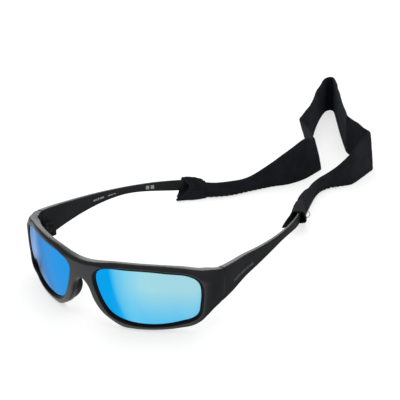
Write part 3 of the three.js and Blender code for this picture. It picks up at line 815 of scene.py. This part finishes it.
def new_material(name):
    material = bpy.data.materials.new(name)
    material.use_nodes = True
    nodes, links = material.node_tree.nodes, material.node_tree.links
    return material, nodes, links, nodes["Principled BSDF"]


def flat_place(nodes):
    place_node = nodes.new("ShaderNodeAttribute")
    place_node.attribute_name = "flat_place"
    return place_node.outputs["Vector"]


def bump_from(nodes, links, height, strength, distance, shader):
    bump = nodes.new("ShaderNodeBump")
    bump.inputs["Strength"].default_value = strength
    bump.inputs["Distance"].default_value = distance * MM
    links.new(height, bump.inputs["Height"])
    links.new(bump.outputs["Normal"], shader.inputs["Normal"])


def noise_node(nodes, links, source, scale, detail=3.0, roughness=0.5):
    texture = nodes.new("ShaderNodeTexNoise")
    texture.inputs["Scale"].default_value = scale
    texture.inputs["Detail"].default_value = detail
    texture.inputs["Roughness"].default_value = roughness
    links.new(source, texture.inputs["Vector"])
    return texture.outputs["Fac"]


def ranged(nodes, links, source, to, origin=(0.0, 1.0), smooth=False):
    """A value read from one range onto another."""
    node = nodes.new("ShaderNodeMapRange")
    if smooth:
        node.interpolation_type = "SMOOTHSTEP"
    for name, value in zip(("From Min", "From Max", "To Min", "To Max"), (*origin, *to)):
        node.inputs[name].default_value = value
    links.new(source, node.inputs["Value"])
    return node.outputs["Result"]


def math_node(nodes, links, operation, *inputs):
    node = nodes.new("ShaderNodeMath")
    node.operation = operation
    for socket, value in zip(node.inputs, inputs):
        if isinstance(value, (int, float)):
            socket.default_value = value
        else:
            links.new(value, socket)
    return node.outputs["Value"]


def mixed(nodes, links, share, first, second, blend="MIX"):
    """Two colours mixed. The share and the colours are sockets or plain values."""
    node = nodes.new("ShaderNodeMix")
    node.data_type = "RGBA"
    node.blend_type = blend
    for name, value in (("Factor", share), ("A", first), ("B", second)):
        if isinstance(value, float):
            node.inputs[name].default_value = value
        elif isinstance(value, tuple):
            node.inputs[name].default_value = (*value, 1.0)
        else:
            links.new(value, node.inputs[name])
    return node.outputs["Result"]


def ramp(nodes, links, source, stops):
    node = nodes.new("ShaderNodeValToRGB")
    elements = node.color_ramp.elements
    for index, (position, color) in enumerate(stops):
        element = elements[index] if index < 2 else elements.new(position)
        element.position = position
        element.color = (*color, 1.0)
    links.new(source, node.inputs["Fac"])
    return node.outputs["Color"]


def nylon(name, painted_recess_shade=False):
    """Satin moulded nylon: fine spark-eroded grain, faint flow clouds and scuffed patches of roughness. With
    painted_recess_shade set, the lens recess gets painted shade: a darker colour and less gloss."""
    material, nodes, links, shader = new_material(name)
    place_at = nodes.new("ShaderNodeTexCoord").outputs["Object"]
    clouds = noise_node(nodes, links, place_at, 60.0, 4.0)
    grain = noise_node(nodes, links, place_at, 5200.0, 2.0, 0.6)
    scuffs = noise_node(nodes, links, place_at, 900.0, 5.0, 0.7)
    color = ramp(nodes, links, clouds, [(0.3, (0.0112, 0.012, 0.014)), (0.7, (0.0155, 0.016, 0.0172))])
    links.new(color, shader.inputs["Base Color"])
    links.new(ranged(nodes, links, scuffs, (0.25, 0.38)), shader.inputs["Roughness"])
    shader.inputs["IOR"].default_value = 1.5
    bump_from(nodes, links, grain, 0.12, 0.02, shader)
    if painted_recess_shade:
        # Painted shade: where the Z of flat_place marks the lens recess wall, the colour darkens and the
        # gloss drops.
        parts = nodes.new("ShaderNodeSeparateXYZ")
        links.new(flat_place(nodes), parts.inputs["Vector"])
        dark = mixed(nodes, links, parts.outputs["Z"], color, (0.0045, 0.005, 0.0075))
        links.new(dark, shader.inputs["Base Color"])
        gloss = ranged(nodes, links, parts.outputs["Z"], (0.5, 0.1))
        links.new(gloss, shader.inputs["Specular IOR Level"])
    return material


# Painted reflection on the blue mirror coat: colour by the bearing of what it reflects, in degrees from
# straight ahead of the wearer.
LENS_BLUE_AND_REFLECTION = [(-130, (0.30, 0.44, 0.66)), (-107, (0.10, 0.29, 0.58)), (-96, (0.035, 0.22, 0.55)),
              (-84, (0.045, 0.31, 0.72)), (-70, (0.03, 0.32, 0.80)), (-45, (0.01, 0.33, 0.84)),
              (-17.5, (0.001, 0.37, 0.85)), (-15, (0.055, 0.49, 0.87)), (-12.5, (0.125, 0.555, 0.87)),
              (-8, (0.19, 0.61, 0.85)), (-5, (0.22, 0.645, 0.86)), (5, (0.34, 0.70, 0.82)),
              (12, (0.37, 0.70, 0.78)),
              (50, (0.36, 0.68, 0.77)), (110, (0.10, 0.45, 0.80))]
LENS_LOW_BLUE_AND_REFLECTION = (0.07, 0.53, 0.88)
BEARING_LOW, BEARING_HIGH = -130.0, 110.0


def mirror_lens():
    """Blue mirror coat with a painted reflection: its colour follows the bearing and the height of what it
    reflects.
    """
    material, nodes, links, shader = new_material("blue_mirror")
    flat = flat_place(nodes)
    reflect = nodes.new("ShaderNodeSeparateXYZ")
    links.new(nodes.new("ShaderNodeTexCoord").outputs["Reflection"], reflect.inputs["Vector"])
    ahead = math_node(nodes, links, "MULTIPLY", reflect.outputs["Y"], -1.0)
    bearing = math_node(nodes, links, "ARCTAN2", reflect.outputs["X"], ahead)
    bearings = (math.radians(BEARING_LOW), math.radians(BEARING_HIGH))
    share = ranged(nodes, links, bearing, (0.0, 1.0), bearings)
    stops = [((angle - BEARING_LOW) / (BEARING_HIGH - BEARING_LOW), color) for angle, color in LENS_BLUE_AND_REFLECTION]
    # Painted reflection: the base colour is read off the direction the coat reflects.
    color = ramp(nodes, links, share, stops)
    downward = ranged(nodes, links, reflect.outputs["Z"], (0.0, 1.0), (-0.42, -0.8))
    sideways = ranged(nodes, links, bearing, (0.0, 1.0), (math.radians(-24), math.radians(2)))
    low_share = math_node(nodes, links, "MULTIPLY", downward, sideways)
    links.new(mixed(nodes, links, low_share, color, LENS_LOW_BLUE_AND_REFLECTION), shader.inputs["Base Color"])
    haze = noise_node(nodes, links, flat, 0.8, 3.0)
    links.new(ranged(nodes, links, haze, (0.04, 0.09)), shader.inputs["Roughness"])
    shader.inputs["Metallic"].default_value = 1.0
    shader.inputs["Specular Tint"].default_value = (0.55, 0.72, 0.95, 1.0)
    return material


def rubber():
    material, nodes, links, shader = new_material("pad_rubber")
    place_at = nodes.new("ShaderNodeTexCoord").outputs["Object"]
    pores = noise_node(nodes, links, place_at, 3000.0, 3.0)
    color = ramp(nodes, links, pores, [(0.3, (0.003, 0.003, 0.0035)), (0.7, (0.006, 0.006, 0.006))])
    links.new(color, shader.inputs["Base Color"])
    shader.inputs["Roughness"].default_value = 0.7
    shader.inputs["Specular IOR Level"].default_value = 0.25
    bump_from(nodes, links, pores, 0.3, 0.03, shader)
    return material


def hinge_steel():
    material, nodes, links, shader = new_material("black_steel")
    place_at = nodes.new("ShaderNodeTexCoord").outputs["Object"]
    stretch = nodes.new("ShaderNodeMapping")
    stretch.inputs["Scale"].default_value = (1.0, 1.0, 14.0)
    links.new(place_at, stretch.inputs["Vector"])
    brushed = noise_node(nodes, links, stretch.outputs["Vector"], 900.0, 4.0)
    color = ramp(nodes, links, brushed, [(0.3, (0.014, 0.0145, 0.016)), (0.7, (0.03, 0.03, 0.033))])
    links.new(color, shader.inputs["Base Color"])
    shader.inputs["Metallic"].default_value = 0.35
    links.new(ranged(nodes, links, brushed, (0.26, 0.48)), shader.inputs["Roughness"])
    bump_from(nodes, links, brushed, 0.15, 0.01, shader)
    return material


def knit(name, rib_width=0.62, course=0.8):
    """Fine black stretch knit: vertical ribs of small loops, fuzz and a soft blue-grey sheen."""
    material, nodes, links, shader = new_material(name)
    flat = flat_place(nodes)
    ribs = nodes.new("ShaderNodeTexWave")
    ribs.bands_direction = "X"
    ribs.inputs["Scale"].default_value = 0.314 / rib_width
    ribs.inputs["Distortion"].default_value = 0.5
    ribs.inputs["Detail"].default_value = 1.0
    ribs.inputs["Detail Scale"].default_value = 0.6
    links.new(flat, ribs.inputs["Vector"])
    loops = nodes.new("ShaderNodeTexWave")
    loops.bands_direction = "Y"
    loops.inputs["Scale"].default_value = 0.314 / course
    loops.inputs["Distortion"].default_value = 0.8
    links.new(flat, loops.inputs["Vector"])
    fuzz = noise_node(nodes, links, flat, 3.0, 5.0, 0.75)
    worn_patches = noise_node(nodes, links, flat, 0.09, 3.0)
    both = math_node(nodes, links, "MULTIPLY", ribs.outputs["Fac"], loops.outputs["Fac"])
    height = math_node(nodes, links, "MULTIPLY_ADD", fuzz, 0.5, both)
    color = ramp(nodes, links, height, [(0.15, (0.004, 0.0044, 0.0056)), (0.6, (0.0085, 0.0098, 0.0125)),
                                        (1.0, (0.014, 0.016, 0.02))])
    tint = ramp(nodes, links, worn_patches, [(0.35, (0.82, 0.82, 0.82)), (0.65, (1.15, 1.15, 1.18))])
    links.new(mixed(nodes, links, 1.0, color, tint, "MULTIPLY"), shader.inputs["Base Color"])
    shader.inputs["Roughness"].default_value = 0.92
    shader.inputs["Specular IOR Level"].default_value = 0.2
    shader.inputs["Sheen Weight"].default_value = 0.035
    shader.inputs["Sheen Roughness"].default_value = 0.45
    shader.inputs["Sheen Tint"].default_value = (0.6, 0.72, 0.95, 1.0)
    bump_from(nodes, links, height, 0.35, 0.1, shader)
    return material


def sewing_thread():
    material, nodes, links, shader = new_material("black_thread")
    place_at = nodes.new("ShaderNodeTexCoord").outputs["Object"]
    twist = noise_node(nodes, links, place_at, 2500.0, 3.0)
    color = ramp(nodes, links, twist, [(0.3, (0.008, 0.0085, 0.01)), (0.7, (0.022, 0.023, 0.026))])
    links.new(color, shader.inputs["Base Color"])
    shader.inputs["Roughness"].default_value = 0.8
    shader.inputs["Sheen Weight"].default_value = 0.1
    bump_from(nodes, links, twist, 0.4, 0.05, shader)
    return material


def print_ink(name, darkest, palest):
    material, nodes, links, shader = new_material(name)
    place_at = nodes.new("ShaderNodeTexCoord").outputs["Object"]
    wear = noise_node(nodes, links, place_at, 2200.0, 4.0)
    color = ramp(nodes, links, wear, [(0.35, (darkest,) * 3), (0.6, (palest,) * 3)])
    links.new(color, shader.inputs["Base Color"])
    shader.inputs["Roughness"].default_value = 0.55
    return material


# Edges of the table's bright part as a mirror sees it, in metres: (dark at, bright at).
TENT_AHEAD, TENT_NOT_LEFT, TENT_RIGHT = (-0.148, -0.166), (0.19, 0.15), (-0.055, -0.095)
TENT_DIM, TENT_BRIGHT = 0.1, 1.0
TABLE_GLOW_SEEN = 0.62


def table_top():
    """Pale matt table. Mirror rays see it glow, a painted glow bright in front of the pair and dim behind,
    like a light tent.
    """
    material, nodes, links, shader = new_material("pale_table")
    place_at = nodes.new("ShaderNodeTexCoord").outputs["Object"]
    clouds = noise_node(nodes, links, place_at, 3.0, 4.0)
    color = ramp(nodes, links, clouds, [(0.3, (0.86, 0.86, 0.86)), (0.7, (0.9, 0.9, 0.9))])
    links.new(color, shader.inputs["Base Color"])
    shader.inputs["Roughness"].default_value = 0.8
    axes = nodes.new("ShaderNodeSeparateXYZ")
    links.new(place_at, axes.inputs["Vector"])
    unit = (0.0, 1.0)
    # The painted glow that mirror rays see: bright in front of the pair and at its right, dim behind.
    ahead = ranged(nodes, links, axes.outputs["Y"], unit, TENT_AHEAD, smooth=True)
    not_left = ranged(nodes, links, axes.outputs["X"], unit, TENT_NOT_LEFT, smooth=True)
    right_part = ranged(nodes, links, axes.outputs["X"], unit, TENT_RIGHT, smooth=True)
    front_part = math_node(nodes, links, "MULTIPLY", ahead, not_left)
    most = math_node(nodes, links, "MAXIMUM", front_part, right_part)
    strength = ranged(nodes, links, most, (TENT_DIM, TENT_BRIGHT))
    glow = nodes.new("ShaderNodeEmission")
    links.new(strength, glow.inputs["Strength"])
    rays = nodes.new("ShaderNodeLightPath")
    # Seen directly, the table mixes 62% of an even white glow into its lit surface, a painted glow that keeps
    # its shadows faint.
    lit = nodes.new("ShaderNodeEmission")
    lit.inputs["Strength"].default_value = 1.0
    seen = math_node(nodes, links, "MULTIPLY", rays.outputs["Is Camera Ray"], TABLE_GLOW_SEEN)
    seen_glow_mix = nodes.new("ShaderNodeMixShader")
    links.new(seen, seen_glow_mix.inputs["Fac"])
    links.new(shader.outputs["BSDF"], seen_glow_mix.inputs[1])
    links.new(lit.outputs["Emission"], seen_glow_mix.inputs[2])
    choose = nodes.new("ShaderNodeMixShader")
    links.new(rays.outputs["Is Glossy Ray"], choose.inputs["Fac"])
    links.new(seen_glow_mix.outputs["Shader"], choose.inputs[1])
    links.new(glow.outputs["Emission"], choose.inputs[2])
    links.new(choose.outputs["Shader"], nodes["Material Output"].inputs["Surface"])
    return material


# ---------------------------------------------------------------- build

nylon_black = nylon("satin_nylon")
front_black = nylon("satin_nylon_front", painted_recess_shade=True)
lens_blue = mirror_lens()
pad_black = rubber()
steel_black = hinge_steel()
strap_black = knit("strap_knit")
sleeve_black = knit("sleeve_knit", 0.7, 0.9)
thread_black = sewing_thread()
ink_pale = print_ink("pale_ink", 0.12, 0.32)
ink_dim = print_ink("dim_ink", 0.035, 0.085)

front_frame(front_black)
lens(1, "lens_shell_left", "lens_left", lens_blue)
lens(-1, "lens_shell_right", "lens_right", lens_blue)
nose_pad(1, "pad_soft_left", "nose_pad_left", pad_black)
nose_pad(-1, "pad_soft_right", "nose_pad_right", pad_black)
temple(1, "temple_shell_left", "temple_left", "temple_left", nylon_black)
temple(-1, "temple_shell_right", "temple_right", "temple_right", nylon_black)

for node, thing in frame["nodes"].items():
    if node.startswith(("hinge_", "front_leaf_", "temple_leaf_")):
        thing.data.materials.clear()
        thing.data.materials.append(steel_black)

# Plain printed bars stand where the real pair has lettering.
temple_mark("temple_mark_left", 1, "temple_left", "outer", 47.8,
            [(0, 4.0, 1.7), (0.8, 2.0, 1.7), (0.8, 5.2, 1.7), (0.8, 2.8, 1.7), (0.8, 4.2, 1.7)],
            0.38, ink_dim)
temple_mark("temple_mark_right", -1, "temple_right", "inner", 83.0,
            [(0, 3.0, 1.0), (0.6, 1.4, 1.6), (0.6, 3.6, 1.0), (3.5, 4.0, 0.7), (0.6, 1.8, 0.7)],
            0.5, ink_pale)
temple_mark("temple_dots_right", -1, "temple_right", "inner", 127.0,
            [(0, 2.6, 2.6), (1.2, 2.6, 2.6)], 0.5, ink_pale)

band_right, right_line = band_piece("strap_band_right_run", 0, BAND_SPLIT, 0.0, strap_black)
band_left, left_line = band_piece("strap_band_left_run", BAND_SPLIT, len(BAND_LINE) - 1, 300.0, strap_black)

sleeve(SLEEVE_LEFT, 1, "sleeve_soft_left", "strap_sleeve_left", "temple_left", Vector((1.7, 4.2, 2.2)),
       11.5, -1.6, 0.0, sleeve_black)
sleeve(SLEEVE_RIGHT, -1, "sleeve_soft_right", "strap_sleeve_right", "temple_right", Vector((5.1, 0.4, 8.2)),
       1.0, 2.2, 7.0, sleeve_black)
cuff(-1, "sleeve_cuff_right", "temple_right", Vector((2.3, 6.1, 0.9)), sleeve_black)

STITCHED_FROM, STITCHED_TO = 4.0, 52.0
left_length = left_line[-1][5]
right_stitches = stitch_run("stitches_right", "seam_thread_right", right_line, STITCHED_FROM, STITCHED_TO,
                            thread_black)
left_stitches = stitch_run("stitches_left", "seam_thread_left", left_line, left_length - STITCHED_TO,
                           left_length - STITCHED_FROM, thread_black)

# A loop of thread at the left sleeve's mouth and a loose end under the left run.
thread_loop = loose_thread("thread_loop_left", [(50.6, 158.4, 13.2), (52.0, 159.6, 13.6), (53.2, 160.2, 12.4),
                                                (53.2, 159.8, 10.6), (52.2, 159.0, 9.6), (50.9, 158.4, 10.0)],
                           0.2, thread_black)
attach(thread_loop, "temple_left")
thread_end = loose_thread("thread_end_left", [(35.4, 225.2, 3.2), (36.8, 224.6, 2.4), (37.6, 223.6, 1.0),
                                              (37.9, 223.0, 0.3)], 0.16, thread_black)

# The band's runs, their stitches and the loose end have their placement baked into their points.
for piece in (band_right, right_stitches):
    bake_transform(piece)
for piece in (band_left, left_stitches, thread_end):
    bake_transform(piece)

# ---------------------------------------------------------------- stage, light and camera

FLOOR = 4.0
floor_mesh = bpy.data.meshes.new("floor")
floor_mesh.from_pydata([(-FLOOR, -FLOOR, 0), (FLOOR, -FLOOR, 0), (FLOOR, FLOOR, 0), (-FLOOR, FLOOR, 0)],
                       [], [(0, 1, 2, 3)])
floor = bpy.data.objects.new("floor", floor_mesh)
floor.data.materials.append(table_top())
bpy.context.scene.collection.objects.link(floor)

world = bpy.data.worlds.new("studio")
bpy.context.scene.world = world
world.use_nodes = True
world_nodes, world_links = world.node_tree.nodes, world.node_tree.links
background = world_nodes["Background"]
# The studio is white to the eye and dim to a mirror, so glossy pieces stay dark.
STUDIO_BRIGHT, STUDIO_IN_GLOSS = 1.0, 0.12
rays = world_nodes.new("ShaderNodeLightPath")
studio = ranged(world_nodes, world_links, rays.outputs["Is Glossy Ray"], (STUDIO_BRIGHT, STUDIO_IN_GLOSS))
world_links.new(studio, background.inputs["Strength"])
background.inputs["Color"].default_value = (1.0, 1.0, 1.0, 1.0)


def soft_light(name, place_at, target, size, power, seen_in_gloss=True):
    data = bpy.data.lights.new(name, "AREA")
    data.shape = "RECTANGLE"
    data.size, data.size_y = size
    data.energy = power
    light = bpy.data.objects.new(name, data)
    light.location = place_at
    light.rotation_euler = (Vector(target) - Vector(place_at)).to_track_quat("-Z", "Y").to_euler()
    light.visible_glossy = seen_in_gloss
    light.visible_camera = False
    bpy.context.scene.collection.objects.link(light)


soft_light("overhead", (0.0, 0.1, 0.9), (0, 0, 0), (0.9, 0.9), 5.0, seen_in_gloss=False)
soft_light("rear_card", (-0.65, 0.72, 0.42), (0, 0, 0.02), (1.3, 0.42), 4.5)

CAMERA_PLACE = (335.36, -334.03, 299.2)
CAMERA_AZIMUTH, CAMERA_ELEVATION, CAMERA_ROLL = 36.739, 25.856, -2.796
LENS_LENGTH = 89.39

azimuth, elevation, roll = (math.radians(a) for a in (CAMERA_AZIMUTH, CAMERA_ELEVATION, CAMERA_ROLL))
back = Vector((math.sin(azimuth) * math.cos(elevation), -math.cos(azimuth) * math.cos(elevation),
               math.sin(elevation)))
right = (-back).cross(Vector((0, 0, 1))).normalized()
up = right.cross(-back)
turned_right = right * math.cos(roll) + up * math.sin(roll)
turned_up = up * math.cos(roll) - right * math.sin(roll)
camera_data = bpy.data.cameras.new("camera")
camera_data.lens = LENS_LENGTH
camera_data.sensor_width = 36.0
camera_data.clip_start = 0.01
camera = bpy.data.objects.new("camera", camera_data)
place_matrix = Matrix((turned_right, turned_up, back)).transposed().to_4x4()
place_matrix.translation = laid(*CAMERA_PLACE)
camera.matrix_world = place_matrix
bpy.context.scene.collection.objects.link(camera)
bpy.context.scene.camera = camera
bpy.context.scene.view_settings.view_transform = "Standard"
